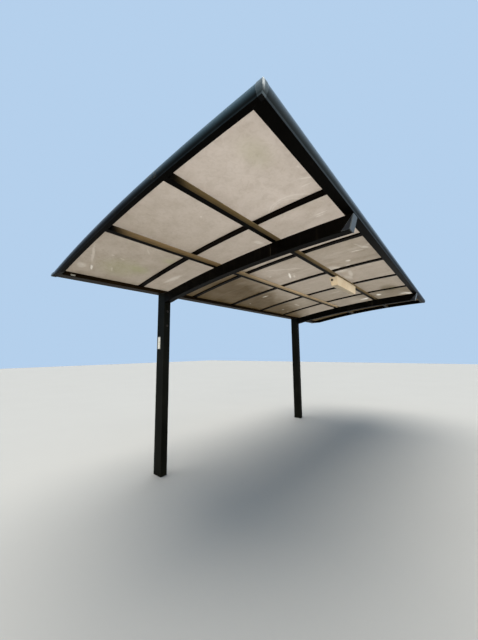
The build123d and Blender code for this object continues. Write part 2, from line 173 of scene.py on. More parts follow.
class Graph:
    """One material's node tree and the ways in which nodes join it."""

    def __init__(self, material: bpy.types.Material) -> None:
        """Start from an empty tree.

        Args:
            material: the material that gets the tree.
        """
        material.use_nodes = True
        self.tree = material.node_tree
        self.tree.nodes.clear()

    def add(self, kind: str, settings: dict[str, object],
            inputs: dict[str | int, object]) -> bpy.types.Node:
        """Add a node.

        Args:
            kind: the node's type.
            settings: attributes, set before the sockets.
            inputs: values or links by socket name, identifier or number.

        Returns:
            The node.
        """
        node = self.tree.nodes.new(kind)
        for name, setting in settings.items():
            setattr(node, name, setting)
        by_identifier = {socket.identifier: socket for socket in node.inputs}
        for key, given in inputs.items():
            socket = by_identifier[key] if key in by_identifier else node.inputs[key]
            source = given.socket if isinstance(given, Value) else given
            if isinstance(source, Socket):
                self.tree.links.new(source, socket)
            else:
                socket.default_value = source
        return node

    def number(self, kind: str, settings: dict[str, object], inputs: dict[str | int, object],
               output: str | int = 0) -> Value:
        """Add a node and return one of its outputs as a number."""
        return Value(self, self.add(kind, settings, inputs).outputs[output])

    def _split(self, vector: Socket) -> tuple[Value, ...]:
        """The three numbers of a vector."""
        parts = self.add("ShaderNodeSeparateXYZ", {}, {0: vector})
        return tuple(Value(self, socket) for socket in parts.outputs)

    @cached_property
    def place(self) -> Socket:
        """Coordinates in metres, in the model's frame."""
        return self.add("ShaderNodeTexCoord", {}, {}).outputs["Object"]

    @cached_property
    def normal(self) -> Socket:
        """The surface's own direction."""
        return self.add("ShaderNodeNewGeometry", {}, {}).outputs["Normal"]

    @cached_property
    def axes(self) -> tuple[Value, ...]:
        """The three coordinates as numbers."""
        return self._split(self.place)

    @cached_property
    def facing(self) -> tuple[Value, ...]:
        """The surface's own direction as three numbers."""
        return self._split(self.normal)

    @cached_property
    def ragged(self) -> Socket:
        """Coordinates pushed about by up to 8 mm, so that marks get uneven edges.

        Returns:
            The coordinates.
        """
        push = 0.016
        noise = self.add("ShaderNodeTexNoise", {},
                         {"Vector": self.place, "Scale": 26.0, "Detail": 4.0})
        start = self.stretched(1.0, (-push / 2,) * 3)
        moved = self.add("ShaderNodeVectorMath", {"operation": "MULTIPLY_ADD"},
                         {0: noise.outputs["Color"], 1: (push,) * 3, 2: start})
        return moved.outputs[0]

    def along(self, vector: Socket, other: Point | Socket) -> Value:
        """How far a vector reaches along another one."""
        return self.number("ShaderNodeVectorMath", {"operation": "DOT_PRODUCT"},
                           {0: vector, 1: other}, "Value")

    def stretched(self, scale: Point | float, shift: Point = (0, 0, 0)) -> Socket:
        """Coordinates scaled, evenly or along each axis, then shifted."""
        scale = scale if isinstance(scale, tuple) else (scale,) * 3
        return self.add("ShaderNodeVectorMath", {"operation": "MULTIPLY_ADD"},
                        {0: self.place, 1: scale, 2: shift}).outputs[0]

    def noise(self, scale: Point | float, detail: float = 3.0, shift: Point = (0, 0, 0),
              swirl: float = 0.0) -> Value:
        """Cloudy noise from 0 to 1.

        Args:
            scale: features per metre, evenly or along each axis.
            detail: octaves.
            shift: offset, so that two noises differ.
            swirl: how far the noise is folded into itself.

        Returns:
            The noise.
        """
        return self.number("ShaderNodeTexNoise", {},
                           {"Vector": self.stretched(scale, shift), "Scale": 1.0,
                            "Detail": detail, "Roughness": 0.55, "Distortion": swirl})

    def cells(self, scale: float, shift: Point = (0, 0, 0)) -> Value:
        """Distance to the nearest of scattered points, in cell widths."""
        return self.number("ShaderNodeTexVoronoi", {},
                           {"Vector": self.stretched(scale, shift), "Scale": 1.0}, "Distance")

    def out_from(self, middle: Pair, reach: Pair, turn: float = 0.0) -> Value:
        """Distance on the roof's plan from a point, counted in reaches along turned axes.

        Args:
            middle: X and Y of the point.
            reach: the lengths along the turned X and Y that count as 1.
            turn: angle of the turned X from +X, in degrees.

        Returns:
            The distance, 0 at the point and 1 at its reach.
        """
        place = {"Vector": self.ragged, "Location": (*middle, 0.0),
                 "Rotation": (0, 0, math.radians(turn)), "Scale": (*reach, 1000.0)}
        local = self.add("ShaderNodeMapping", {"vector_type": "TEXTURE"}, place)
        return self.number("ShaderNodeVectorMath", {"operation": "LENGTH"},
                           {0: local.outputs[0]}, "Value")

    def edges(self, radius: float) -> Value:
        """Find the edges that a radius would round off.

        Args:
            radius: the radius in metres.

        Returns:
            The share, 0 on flat faces and 1 on edges.
        """
        flat, sharp = 0.985, 0.86
        rounded_off = self.add("ShaderNodeBevel", {"samples": 4}, {"Radius": radius})
        return self.along(rounded_off.outputs[0], self.normal).step(flat, sharp)

    def blend(self, share: Value | float, first: Colour | Socket,
              second: Colour | Socket) -> Socket:
        """Mix two colours.

        Args:
            share: how much of the second colour shows.
            first: a colour or a colour socket.
            second: a colour or a colour socket.

        Returns:
            The mixed colour.
        """
        ends = [(*end, 1.0) if isinstance(end, tuple) else end for end in (first, second)]
        mix = self.add("ShaderNodeMix", {"data_type": "RGBA"},
                       {"Factor_Float": share, "A_Color": ends[0], "B_Color": ends[1]})
        return mix.outputs[2]

    def relief(self, height: Value, depth: float) -> Socket:
        """Turn a height from 0 to 1 into a normal, for a real depth in metres."""
        return self.add("ShaderNodeBump", {}, {"Height": height, "Distance": depth,
                                               "Strength": 1.0}).outputs[0]

    def surface(self, inputs: dict[str | int, object]) -> Socket:
        """Add the main shader with its sockets."""
        return self.add("ShaderNodeBsdfPrincipled", {}, inputs).outputs[0]


@dataclass(frozen=True)
class Finish:
    """A finish that can be put on pieces. Each kind says how it is shaded."""

    made: ClassVar[dict[str, bpy.types.Material]] = {}
    name: str
    slot: str

    def shade(self, graph: Graph) -> Socket:
        """Fill the node tree and return its shader."""
        raise NotImplementedError

    def material(self) -> bpy.types.Material:
        """Make the material, or find the one already made.

        Returns:
            The material.
        """
        if self.name not in self.made:
            material = bpy.data.materials.new(self.name)
            graph = Graph(material)
            graph.add("ShaderNodeOutputMaterial", {}, {"Surface": self.shade(graph)})
            self.made[self.name] = material
        return self.made[self.name]

    def dress(self, *pieces: Object) -> list[Object]:
        """Put the finish on pieces.

        Args:
            pieces: the objects to dress.

        Returns:
            The same objects.
        """
        for piece in pieces:
            piece.data.materials.clear()
            piece.data.materials.append(self.material())
        return list(pieces)


@dataclass(frozen=True)
class Bronze(Finish):
    """Dark bronze anodising with rain streaks, dust, wear and, on the frames, chalking with painted
    sky sheen, clear-coated where the sky sees it.
    """

    grain: Grain
    sheen: float
    metal: Colour = (0.0014, 0.0011, 0.0007)
    faded: Colour = (0.0036, 0.0031, 0.0023)
    # Bluish colour of chalking and painted sky sheen on the outer faces.
    chalk_and_sheen_colour: Colour = (0.028, 0.052, 0.064)
    dust: Colour = (0.13, 0.108, 0.075)
    bare: Colour = (0.06, 0.062, 0.06)
    outside: Point | None = None
    chalk_and_sheen_run: tuple[Point, float, float] | None = None
    chalk_and_sheen_faces: Pair = (-0.6, 0.2)
    run_lines: tuple[float, ...] = ()
    scuffs: tuple[Pair, ...] = ()
    worn_radius: float = 0.0016
    line_depth: float = 0.00006

    def tone(self, graph: Graph, clouds: Value) -> Socket:
        """The clean metal's colour."""
        return graph.blend(clouds.step(0.35, 0.75), self.metal, self.faded)

    def soil(self, graph: Graph, clouds: Value) -> Value:
        """Dust on upper faces, rain streaks on upright ones, specks, and any placed runs.

        Args:
            graph: the material's tree.
            clouds: broad noise that the specks follow.

        Returns:
            The share of dirt from 0 to 1.
        """
        _, y, z = graph.axes
        _, _, up = graph.facing
        upright = abs(up).step(0.75, 0.3)
        streaks = graph.noise((38, 38, 1.6), 3, (4, 7, 1)).step(0.57, 0.76)
        settled = up.step(0.25, 0.85) * (0.12 + 0.42 * graph.noise(9, 6, (2, 2, 8)))
        specks = graph.cells(95).step(0.17, 0.08) * clouds.step(0.5, 0.72)
        soil = (0.04 * streaks * upright).greater(settled).greater(0.16 * specks)
        for line in self.run_lines:
            broken = graph.noise((60, 60, 14), 3, (1, 1, 1)).step(0.3, 0.6)
            soil = soil.greater(0.16 * abs(y - line).step(0.007, 0.003) * upright * broken)
        for middle_y, middle_z in self.scuffs:
            near = (9.0 * abs(y - middle_y) + 26.0 * abs(z - middle_z)).step(1.0, 0.2)
            torn = graph.noise((160, 60, 160), 4, (3, 1, 2)).step(0.52, 0.62)
            soil = soil.greater(0.75 * near * torn)
        return soil

    def faces_out(self, graph: Graph) -> Value:
        """Share of the faces that look to the outside."""
        return graph.along(graph.normal, self.outside).step(-0.5, 0.1)

    def chalk_and_light(self, graph: Graph, clouds: Value) -> Value:
        """Chalking and painted sky sheen on the outer face, which grow along its run.

        Args:
            graph: the material's tree.
            clouds: broad noise that the chalking follows.

        Returns:
            The share of chalk and painted sheen.
        """
        _, _, up = graph.facing
        direction, none, full = self.chalk_and_sheen_run
        run = graph.along(graph.place, direction).step(none, full)
        return run * up.step(*self.chalk_and_sheen_faces) * self.faces_out(graph) * (0.6 + 0.6 * clouds)

    def shade(self, graph: Graph) -> Socket:
        """Lay tone, dirt and edge wear over fine drawn lines.

        Args:
            graph: the material's tree.

        Returns:
            The shader.
        """
        _, _, up = graph.facing
        clouds = graph.noise(3.1, 5)
        lines = graph.noise(self.grain.value, 2)
        soil = self.soil(graph, clouds)
        worn = graph.noise(30, 4, (7, 7, 7)).step(0.42, 0.66) * graph.edges(self.worn_radius)
        seen_by_sky = up.step(-0.55, 0.3) * (0.75 + 0.5 * clouds)
        if self.outside is not None:
            seen_by_sky = seen_by_sky * self.faces_out(graph)
        colour = self.tone(graph, clouds)
        # Chalking and painted sky sheen on the outer faces.
        if self.chalk_and_sheen_run is not None:
            colour = graph.blend(self.chalk_and_light(graph, clouds), colour, self.chalk_and_sheen_colour)
        colour = graph.blend(0.5 * worn, colour, self.bare)
        return graph.surface({
            "Base Color": graph.blend(soil, colour, self.dust),
            "Roughness": (0.34 + 0.14 * clouds + 0.08 * lines + 0.4 * soil).smaller(0.95),
            "Specular IOR Level": 0.02, "IOR": 1.5,
            "Coat Weight": (seen_by_sky * self.sheen * (1.0 - 0.7 * soil)).smaller(1.0),
            "Coat Roughness": 0.24, "Coat IOR": 1.6,
            "Normal": graph.relief(lines + 0.6 * soil, self.line_depth)})


@dataclass(frozen=True)
class PurlinBronze(Bronze):
    """Bronze purlin with painted sunlight on its front face, a painted highlight along that face's
    upper edge, and painted shade beside the side frames and past the right beam.
    """

    # Colours of painted sunlight on the front face, near the left end and further right, and of the
    # painted highlight along its upper edge.
    sunlit: Colour = (0.190, 0.136, 0.063)
    brightly_sunlit: Colour = (0.280, 0.203, 0.104)
    rim: Colour = (0.42, 0.33, 0.20)
    top: float = 2.111
    height: float = 0.042
    # Reach of the painted shadow beside the side frames, and where and how strongly painted shade
    # falls past the right beam.
    frame_shadow: Pair = (0.02, 0.16)
    right_beam: Pair = (3.00, 3.08)
    shade_past_beam: float = 0.65

    def tone(self, graph: Graph, clouds: Value) -> Socket:
        """Paint sunlight on the face that looks out of the shelter, with a highlight along its upper
        edge, and paint shade beside the side frames and past the right beam.

        Args:
            graph: the material's tree.
            clouds: broad noise.

        Returns:
            The colour.
        """
        x, _, z = graph.axes
        _, ahead, _ = graph.facing
        left, right = GRID.inner_faces
        level = (z - (self.top - self.height)) / self.height
        patchy = 0.75 + 0.4 * graph.noise((1.3, 6, 6), 4, (9, 2, 5))
        # Painted shadow beside the side frames and painted shade past the right beam.
        out_of_frame_shadow = (x - left).step(*self.frame_shadow) * (right - x).step(*self.frame_shadow)
        share = ahead.step(-0.3, -0.8) * patchy * (0.45 + 0.55 * level.step(-0.1, 0.9))
        share = share * out_of_frame_shadow * (1.0 - self.shade_past_beam * x.step(*self.right_beam))
        lit_tan = graph.blend(x.step(0.0, 0.8), self.sunlit, self.brightly_sunlit)
        # Painted highlight along the upper edge of the sunlit face.
        lit_tan = graph.blend(0.6 * level.step(0.82, 0.94), lit_tan, self.rim)
        return graph.blend(share.smaller(1.0), super().tone(graph, clouds), lit_tan)


SHEET_MARKS = {
    Deposit.LIME: (
        Mark((-0.830, -0.158), (0.054, 0.010), 69, 0.60),
        Mark((-0.905, -0.380), (0.190, 0.013), 72, 0.22),
        Mark((-0.905, -0.157), (0.060, 0.045), 70, 0.25),
        Mark((-0.780, -0.440), (0.014, 0.009), 0, 0.32),
        Mark((-0.694, -0.416), (0.038, 0.009), 19, 0.26),
        Mark((-0.594, -0.641), (0.058, 0.008), 49, 0.22),
        Mark((-0.681, -0.207), (0.048, 0.009), 67, 0.26),
        Mark((-0.103, -0.295), (0.170, 0.035), 99, 0.30),
        Mark((-0.600, -1.269), (0.012, 0.010), 0, 0.50),
        Mark((-0.464, -1.938), (0.042, 0.008), 120, 0.30),
        Mark((-0.411, -1.912), (0.040, 0.008), 90, 0.30),
        Mark((-0.570, -1.947), (0.013, 0.009), 0, 0.30),
        Mark((-0.076, -1.860), (0.050, 0.006), 90, 0.50),
        Mark((-0.050, -1.838), (0.042, 0.005), 84, 0.40),
        Mark((-0.020, -1.310), (0.060, 0.030), -14, 0.30),
        Mark((0.690, -1.133), (0.290, 0.013), -51, 0.32),
        Mark((0.914, -1.072), (0.125, 0.014), 23, 0.80),
        Mark((0.976, -1.097), (0.060, 0.012), 25, 0.35),
        Mark((0.755, -0.913), (0.024, 0.020), 0, 0.35),
        Mark((1.344, -0.445), (0.060, 0.022), 96, 0.70),
        Mark((0.975, -1.695), (0.034, 0.030), 0, 0.50),
        Mark((1.121, -1.651), (0.040, 0.028), 20, 0.35),
        Mark((0.770, -1.840), (0.070, 0.012), -76, 0.50),
        Mark((0.733, -1.915), (0.048, 0.019), -41, 0.45),
        Mark((0.663, -1.885), (0.105, 0.008), -15, 0.30),
        Mark((1.160, -1.520), (0.210, 0.090), -12, 0.30),
        Mark((1.558, -1.516), (0.130, 0.042), -8, 0.28),
        Mark((2.265, -0.452), (0.125, 0.020), 3, 0.45),
        Mark((1.399, -0.136), (0.020, 0.015), 0, 0.70),
        Mark((1.578, -0.975), (0.055, 0.010), 99, 0.30),
        Mark((1.430, -1.580), (0.170, 0.028), 11, 0.30),
        Mark((2.272, -0.180), (0.034, 0.024), 0, 0.70),
        Mark((2.487, -0.150), (0.024, 0.014), 0, 0.45),
        Mark((2.140, -1.150), (0.090, 0.032), 92, 0.32),
        Mark((2.915, -1.556), (0.068, 0.046), 0, 0.90),
        Mark((3.210, -1.790), (0.130, 0.011), -87, 0.40),
        Mark((3.205, -1.935), (0.060, 0.030), 90, 1.00),
        Mark((3.053, -1.325), (0.056, 0.028), 90, 1.00),
        Mark((3.035, -1.170), (0.115, 0.011), 94, 0.40),
        Mark((3.160, -1.917), (0.230, 0.020), -12, 0.35),
        Mark((3.140, -1.885), (0.110, 0.036), -53, 0.90),
        Mark((3.020, -1.310), (0.100, 0.040), 71, 0.90),
        Mark((3.010, -1.200), (0.360, 0.170), 0, 0.10),
    ),
    Deposit.ALGAE: (
        Mark((-0.500, -0.310), (0.170, 0.110), 15, 0.42),
        Mark((-0.620, -0.270), (0.280, 0.230), 0, 0.26),
        Mark((-0.360, -0.595), (0.090, 0.060), 0, 0.32),
        Mark((-0.780, -1.840), (0.160, 0.100), 0, 0.16),
        Mark((2.563, -1.809), (0.035, 0.025), 0, 0.45),
    ),
    Deposit.GRIME: (
        Mark((2.550, -1.760), (0.260, 0.150), 0, 0.30),
    ),
}


@dataclass(frozen=True)
class SmokedSheet(Finish):
    """Weathered smoke-tinted sheet that passes soft light, with grime, water marks, scratches and
    painted shade.
    """

    tint: Colour = (0.25, 0.235, 0.205)
    glow: Colour = (0.750, 0.690, 0.638)
    grime: Colour = (0.27, 0.228, 0.160)
    # Colour of the sheets under painted shade.
    shade_colour: Colour = (0.182, 0.132, 0.063)
    lime: Colour = (0.96, 0.93, 0.88)
    lime_outside: Colour = (0.42, 0.40, 0.36)
    algae: Colour = (0.42, 0.43, 0.26)
    through: float = 0.6
    wave_depth: float = 0.0008
    bay: int = 0
    film: Pair = (0.3, 0.3)
    low_edge: float = 0.066
    dried_rings: tuple[tuple[Pair, float], ...] = (((-0.22, -1.75), 0.170), ((-0.26, -1.73), 0.111))
    rings_end: float = -0.30
    # Edge and slope of the painted tree shadow by the gutter, and where painted shade along the far
    # frame starts.
    shade_line: float = -0.893
    shade_slope: float = 0.25
    far_frame_shade: Pair = (3.5, 3.85)

    def soil(self, graph: Graph, clouds: Value) -> Value:
        """Darkening film: set per bay from front to back, darker towards the low edge and beside the
        glazing bars, over cloudy, wiped and mottled dirt.

        Args:
            graph: the material's tree.
            clouds: broad noise that the film follows.

        Returns:
            The share of the darkening film from 0 to 1.
        """
        x, y, _ = graph.axes
        bays = (x - GRID.first) / GRID.pitch + 0.5
        beside_bar = abs(bays - bays.floor() - 0.5).step(0.085, 0.02)
        gutter_side = y.step(self.low_edge - 0.16, self.low_edge - 0.04)
        wiped = graph.noise((30, 1.5, 4), 4, (3, 1, 0), 0.3).step(0.4, 0.72) * x.step(-0.5, 0.2)
        mottle = graph.noise(11, 5, (6, 2, 4)).step(0.36, 0.72)
        mottle = mottle + 1.5 * graph.noise(36, 4, (2, 6, 1), 1.1).step(0.4, 0.7)
        front, back = self.film
        return (front + (back - front) * y.step(-1.9, -0.6)
                + 0.1 * clouds.step(0.4, 0.75) + 0.09 * wiped + 0.09 * mottle
                + 0.12 * gutter_side + 0.16 * beside_bar * graph.noise(5, 4, (1, 8, 3)))

    def shade_share(self, graph: Graph) -> Value:
        """Painted shadow of a tree by the gutter behind the left post, and painted shade along the
        far frame.

        Args:
            graph: the material's tree.

        Returns:
            The share of painted shade from 0 to 1.
        """
        x, y, _ = graph.axes
        drift = graph.noise(7, 6, (8, 1, 2)) - 0.5
        off_line = y - self.shade_line - self.shade_slope * x + 0.25 * drift
        tree_shadow = off_line.step(-0.25, 0.22) * x.step(0.03, 0.25)
        frame_shade = (x + 0.3 * drift).step(*self.far_frame_shade)
        return tree_shadow.greater(frame_shade) * (0.85 + 0.5 * drift)

    def deposits(self, graph: Graph, kind: Deposit) -> Value | float:
        """All marks of one kind on this sheet, the strongest where they overlap.

        Args:
            graph: the material's tree.
            kind: what the marks are made of.

        Returns:
            The share from 0 to 1.
        """
        soft = 0.15 if kind is Deposit.ALGAE else 0.45
        low = GRID.first + self.bay * GRID.pitch
        total: Value | float = 0.0
        for mark in SHEET_MARKS[kind]:
            past = max(mark.reach)
            if low - past < mark.middle[0] < low + GRID.pitch + past:
                share = graph.out_from(mark.middle, mark.reach, mark.turn).step(1.0, soft)
                total = (share * mark.strength).greater(total)
        return total

    def rings(self, graph: Graph) -> Value | float:
        """Arcs left by water that dried on the first sheet.

        Args:
            graph: the material's tree.

        Returns:
            The share from 0 to 1.
        """
        if self.bay > 0:
            return 0.0
        x, _, _ = graph.axes
        share: Value | float = 0.0
        for middle, radius in self.dried_rings:
            line = abs(graph.out_from(middle, (radius, radius)) - 1.0).step(0.05, 0.01)
            share = line.greater(share)
        return 0.22 * share * (x - self.rings_end).step(0.04, -0.02)

    def pale(self, graph: Graph, clouds: Value, patchy: Value) -> Value:
        """Dried water, scratches, wiping and specks.

        Args:
            graph: the material's tree.
            clouds: broad noise that the specks follow.
            patchy: finer noise that breaks up the dried water.

        Returns:
            The share from 0 to 1.
        """
        x, _, _ = graph.axes
        scratch = graph.noise((1.5, 130, 30), 2, (1, 5, 2)).step(0.735, 0.78)
        scratch = 0.16 * scratch * graph.noise((4, 2, 2), 2, (5, 5, 5)).step(0.55, 0.7)
        wiping = graph.noise((16, 0.9, 3), 3, (2, 7, 1), 0.2).step(0.56, 0.78)
        wiping = 0.14 * wiping * x.step(-0.5, 0.1)
        specks = graph.cells(34, (3, 3, 3)).step(0.09, 0.03) * clouds.step(0.42, 0.6)
        dried = (self.deposits(graph, Deposit.LIME) * patchy).greater(self.rings(graph))
        return dried.greater(scratch).greater(wiping).greater(0.4 * specks).smaller(1.0)

    def shade(self, graph: Graph) -> Socket:
        """Mix a satin skin with a shader that lets the light from above through.

        Args:
            graph: the material's tree.

        Returns:
            The shader.
        """
        clouds = graph.noise((2.2, 1.2, 2.2), 5)
        grain = graph.noise(170, 3)
        patchy = 0.55 + 0.9 * graph.noise(70, 4, (9, 4, 1))
        pale = self.pale(graph, clouds, patchy)
        green = (self.deposits(graph, Deposit.ALGAE) * patchy).smaller(1.0)
        brown = self.deposits(graph, Deposit.GRIME) * patchy
        soil = (self.soil(graph, clouds) + brown + 0.08 * grain).smaller(1.0)
        # Painted shadow of a tree by the gutter and painted shade along the far frame.
        painted_shade = self.shade_share(graph)
        colours = []
        for clean, dried in ((self.tint, self.lime_outside), (self.glow, self.lime)):
            film = graph.blend(painted_shade, graph.blend(soil, clean, self.grime), self.shade_colour)
            colours.append(graph.blend(pale, graph.blend(green, film, self.algae), dried))
        rough = 0.36 + 0.2 * clouds + 0.12 * soil + 0.25 * pale
        waves = graph.noise((5, 3, 5), 2, (2, 9, 4))
        skin = graph.surface({"Base Color": colours[0], "Roughness": rough.smaller(0.9),
                              "Specular IOR Level": 0.5, "IOR": 1.58,
                              "Normal": graph.relief(waves + 0.08 * grain, self.wave_depth)})
        glow = graph.add("ShaderNodeBsdfTranslucent", {}, {"Color": colours[1]}).outputs[0]
        both = graph.add("ShaderNodeMixShader", {}, {0: self.through, 1: skin, 2: glow})
        return both.outputs[0]


@dataclass(frozen=True)
class Moulding(Finish):
    """Weathered moulded plastic or cast fitting, glossier where the sky sees it, with painted shade
    on its undersides.
    """

    base: Colour
    worn: Colour
    sheen: float
    # Pale colour of rubbed edges, and of the painted highlight down the corner castings' mitres.
    bare: Colour = (0.20, 0.21, 0.205)
    # Colour of the painted shade on the undersides.
    under: Colour = (0.006, 0.006, 0.006)
    roughness: float = 0.4
    rub: float = 0.7
    specular: float = 0.25
    # Mitre lines that carry a painted highlight, on the corner castings only.
    mitre_lines: Pair | None = None
    glint_fade: Pair = (0.009, 0.003)
    edge_radius: float = 0.003

    def glint(self, graph: Graph) -> Value:
        """Painted highlight: a bright line along each mitre, off its ends.

        Args:
            graph: the material's tree.

        Returns:
            The share of the painted highlight.
        """
        x, y, z = graph.axes
        left, right = self.mitre_lines
        off_mitre = abs(x - y - left).smaller(abs(x + y - right))
        off_ends = z.step(2.100, 2.122) * z.step(2.163, 2.148)
        return 0.75 * off_mitre.step(*self.glint_fade) * off_ends

    def shade(self, graph: Graph) -> Socket:
        """Chalk the upper faces, rub the edges pale and leave a fine pebbled skin, with painted shade
        on the undersides; on the corner castings, paint a highlight down each mitre and light on the
        faces that look ahead.

        Args:
            graph: the material's tree.

        Returns:
            The shader.
        """
        _, ahead, up = graph.facing
        clouds = graph.noise(14, 4)
        pebble = graph.noise(700, 2)
        chalk_and_light = (0.6 * clouds.step(0.4, 0.8) + 0.4 * up.step(-0.2, 0.9)).smaller(1.0)
        rubbed_and_glint = graph.noise(45, 4, (5, 1, 5)).step(0.3, 0.55) * up.step(-0.5, 0.0)
        rubbed_and_glint = rubbed_and_glint * graph.edges(self.edge_radius) * self.rub
        if self.mitre_lines is not None:
            # Rubbed edges and the painted highlight down each mitre.
            rubbed_and_glint = rubbed_and_glint.greater(self.glint(graph))
            # Painted light: faces that look ahead are lighter on the corner castings.
            chalk_and_light = (chalk_and_light + 0.5 * ahead.step(-0.4, -0.9)).smaller(1.0)
        colour = graph.blend(chalk_and_light, self.base, self.worn)
        # Painted shade: faces that look down darken.
        colour = graph.blend(up.step(-0.3, -0.8), colour, self.under)
        return graph.surface({
            "Base Color": graph.blend(rubbed_and_glint, colour, self.bare),
            "Roughness": self.roughness + 0.25 * chalk_and_light + 0.05 * pebble,
            "Coat Weight": up.step(-0.6, 0.2) * self.sheen * (1.0 - 0.5 * chalk_and_light),
            "Coat Roughness": 0.2, "Specular IOR Level": self.specular,
            "Normal": graph.relief(pebble, 0.00008)})


@dataclass(frozen=True)
class Steel(Finish):
    """Plated steel, dulled and spotted with rust."""

    plate: Colour = (0.10, 0.098, 0.09)
    rust: Colour = (0.13, 0.05, 0.020)
    rusting: float = 0.35

    def shade(self, graph: Graph) -> Socket:
        """Spot the plating with rust.

        Args:
            graph: the material's tree.

        Returns:
            The shader.
        """
        clouds = graph.noise(60, 5)
        spots = clouds.step(0.72 - 0.3 * self.rusting, 0.8)
        grain = graph.noise(900, 2)
        return graph.surface({
            "Base Color": graph.blend(spots, self.plate, self.rust),
            "Metallic": 0.85 - 0.8 * spots, "Roughness": 0.42 + 0.4 * spots + 0.1 * grain,
            "Normal": graph.relief(clouds + 0.3 * grain, 0.0001)})


@dataclass(frozen=True)
class Rubber(Finish):
    """Black sealing rubber, greyed by dust in its pores."""

    black: Colour = (0.006, 0.0045, 0.003)
    grey: Colour = (0.020, 0.016, 0.011)

    def shade(self, graph: Graph) -> Socket:
        """Grey the rubber in small patches over a fine grain.

        Args:
            graph: the material's tree.

        Returns:
            The shader.
        """
        patches = graph.noise(45, 5).step(0.45, 0.75)
        pores = graph.noise(800, 2)
        return graph.surface({
            "Base Color": graph.blend(0.6 * patches, self.black, self.grey),
            "Roughness": 0.6 + 0.2 * pores, "Specular IOR Level": 0.06,
            "Normal": graph.relief(pores, 0.0001)})


@dataclass(frozen=True)
class Enamel(Finish):
    """Cream enamelled sheet metal, yellowed, with dust and thin dirt runs."""

    paint: Colour = (0.95, 0.78, 0.55)
    aged: Colour = (0.83, 0.64, 0.41)
    dirt: Colour = (0.12, 0.09, 0.055)

    def shade(self, graph: Graph) -> Socket:
        """Yellow the paint in clouds, let dirt run down its sides and gather at its edges.

        Args:
            graph: the material's tree.

        Returns:
            The shader.
        """
        clouds = graph.noise(7, 4)
        runs = graph.noise((70, 70, 5), 4, (3, 3, 3)).step(0.58, 0.78)
        specks = graph.cells(150).step(0.16, 0.05) * clouds.step(0.42, 0.6)
        chipped = graph.edges(0.002) * graph.noise(90, 4).step(0.5, 0.6)
        soil = (0.22 * runs + 0.5 * specks + 0.5 * chipped).smaller(1.0)
        colour = graph.blend(clouds.step(0.35, 0.75), self.paint, self.aged)
        peel = graph.noise(260, 2)
        return graph.surface({
            "Base Color": graph.blend(soil, colour, self.dirt),
            "Roughness": 0.34 + 0.2 * clouds + 0.3 * soil,
            "Normal": graph.relief(peel, 0.0001)})


@dataclass(frozen=True)
class MilkyCover(Finish):
    """Milky lamp cover, dusty, with fine ribs along its length."""

    milk: Colour = (0.58, 0.455, 0.29)
    dusty: Colour = (0.45, 0.34, 0.21)
    ribs_per_metre: float = 260.0

    def shade(self, graph: Graph) -> Socket:
        """Rib the cover along the lamp and dust it.

        Args:
            graph: the material's tree.

        Returns:
            The shader.
        """
        _, y, _ = graph.axes
        clouds = graph.noise((9, 30, 30), 4)
        ribs = y * self.ribs_per_metre
        wave = ribs - ribs.floor()
        return graph.surface({
            "Base Color": graph.blend(clouds.step(0.3, 0.8), self.milk, self.dusty),
            "Roughness": 0.3 + 0.35 * clouds,
            "Normal": graph.relief(abs(wave - 0.5), 0.0006)})


@dataclass(frozen=True)
class BareLabel(Finish):
    """Blank white film, yellowed and dirty at its edges."""

    film: Colour = (0.62, 0.60, 0.54)
    yellowed: Colour = (0.42, 0.38, 0.28)

    def shade(self, graph: Graph) -> Socket:
        """Yellow the film in patches.

        Args:
            graph: the material's tree.

        Returns:
            The shader.
        """
        patches = graph.noise(55, 5).step(0.35, 0.75)
        crinkle = graph.noise((130, 130, 30), 3, (1, 2, 3))
        return graph.surface({
            "Base Color": graph.blend(patches, self.film, self.yellowed),
            "Roughness": 0.4 + 0.3 * patches, "Normal": graph.relief(crinkle, 0.0003)})


@dataclass(frozen=True)
class PaleFloor(Finish):
    """Plain pale studio floor."""

    tone: Colour = (0.275, 0.270, 0.255)

    def shade(self, graph: Graph) -> Socket:
        """Give the floor a faint tooth.

        Args:
            graph: the material's tree.

        Returns:
            The shader.
        """
        clouds = graph.noise(0.8, 3)
        lighter = tuple(c * 1.06 for c in self.tone)
        return graph.surface({
            "Base Color": graph.blend(clouds, self.tone, lighter), "Roughness": 0.85,
            "Specular IOR Level": 0.2})


POST_BRONZE = Bronze("post_anodising", "dark_bronze", Grain.ALONG_Z, sheen=0.05,
                     metal=(0.0028, 0.0030, 0.0018), faded=(0.0056, 0.0058, 0.0036))
BEAM_BRONZE = Bronze("beam_anodising", "dark_bronze", Grain.ALONG_Y, sheen=0.03,
                     run_lines=(-1.430,))
RAFTER_BRONZE = Bronze("rafter_anodising", "dark_bronze", Grain.ALONG_Y, sheen=0.02,
                       metal=(0.0020, 0.0011, 0.0005), faded=(0.0050, 0.0028, 0.0012))
# Side and front frames: chalking and painted sky sheen on their outer faces, growing along each
# frame.
LEFT_SIDE_BRONZE = Bronze("left_frame_anodising", "dark_bronze", Grain.ALONG_Y, sheen=0.7,
                          outside=(-1.0, 0.0, 0.0), chalk_and_sheen_run=((0.0, 1.0, 0.0), -0.9, -2.0),
                          scuffs=((-1.42, 2.105),))
RIGHT_SIDE_BRONZE = Bronze("right_frame_anodising", "dark_bronze", Grain.ALONG_Y, sheen=0.7,
                           outside=(1.0, 0.0, 0.0), chalk_and_sheen_run=((0.0, 1.0, 0.0), -0.9, -2.0))
FRONT_BRONZE = Bronze("front_frame_anodising", "dark_bronze", Grain.ALONG_X, sheen=1.0,
                      outside=(0.0, -1.0, 0.0), chalk_and_sheen_run=((1.0, 0.0, 0.0), 2.4, -1.0),
                      chalk_and_sheen_faces=(-0.95, -0.1), chalk_and_sheen_colour=(0.036, 0.045, 0.049))
